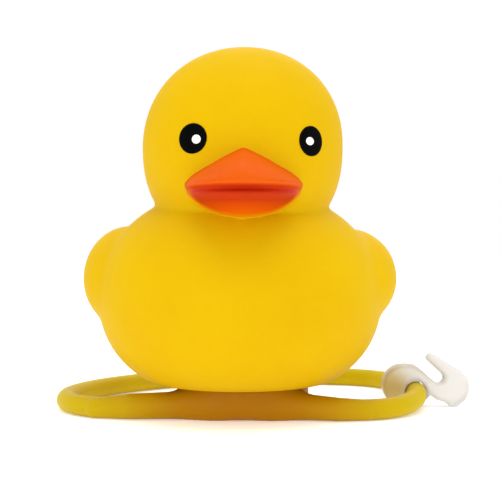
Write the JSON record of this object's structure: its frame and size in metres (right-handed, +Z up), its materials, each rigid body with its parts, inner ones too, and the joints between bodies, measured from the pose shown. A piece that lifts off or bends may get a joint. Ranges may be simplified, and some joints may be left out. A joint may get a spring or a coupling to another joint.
{
  "type": "strap-on duck handlebar light and horn",
  "caption": "Hollow vinyl duck with a lamp capsule in its neck, on a silicone strap collar whose elastic loop closes round a bar with an S-hook; squeezing it sounds a squeaker.",
  "frame": {"origin": "centre of the collar's foot, on the surface it stands on", "axes": "+Z up through the head, -Y the way the duck faces, +X the duck's left (the hook's side)"},
  "size_m": [0.0887, 0.0823, 0.0752],
  "materials": {
    "duck_vinyl": "matt yellow vinyl",
    "beak_orange": "matt orange paint",
    "eye_black": "printed black",
    "eye_white": "printed white",
    "white_plastic": "satin",
    "strap_silicone": "satin translucent silicone",
    "hook_plastic": "milky translucent",
    "case_plastic": "satin",
    "lens_plastic": "milky translucent",
    "black_rubber": "matt",
    "door_plastic": "satin",
    "steel": "satin",
    "brass": "satin",
    "board_green": "solder mask",
    "chip_black": "moulded",
    "led_white": "clear epoxy"
  },
  "bodies": {
    "strap": {"strap_collar": "strap_silicone", "strap_loop": "strap_silicone", "lamp_case": "case_plastic", "lamp_lens": "lens_plastic", "case_seal": "black_rubber", "negative_spring": "steel", "button_cell_1": "steel", "button_cell_2": "steel", "button_cell_3": "steel", "positive_contact": "brass", "circuit_board": "board_green", "control_chip": "chip_black", "led_left": "led_white", "led_right": "led_white", "tact_switch": "chip_black", "board_screws": "steel"},
    "duck": {"duck_shell": "duck_vinyl", "beak": "beak_orange", "eye_prints": "eye_black", "eye_glints": "eye_white", "squeaker_barrel": "white_plastic", "squeaker_shoe": "white_plastic", "squeaker_reed": "white_plastic"},
    "hook": {"strap_hook": "hook_plastic"},
    "door": {"battery_door": "door_plastic", "door_seal": "black_rubber"},
    "button": {"push_button": "black_rubber", "switch_plunger": "black_rubber"}
  },
  "joints": [
    {"name": "duck_swivel", "type": "hinge", "parent": "strap", "child": "duck", "pos_m": [0, 0, 0.0072], "axis": [0, 0, 1], "continuous": true},
    {"name": "hook_swing", "type": "hinge", "parent": "strap", "child": "hook", "pos_m": [0.03715, 0.008, 0.00325], "axis": [0, -1, 0], "continuous": true},
    {"name": "battery_door_turn", "type": "hinge", "parent": "strap", "child": "door", "pos_m": [0.0024, 0, 0.0017], "axis": [0, 0, -1], "range_deg": [0, 45]},
    {"name": "push_button_press", "type": "slide", "parent": "strap", "child": "button", "axis": [0, 0, 1], "range_m": [0, 0.0003], "stiffness_N_per_m": 400, "springref_m": -0.001}
  ]
}
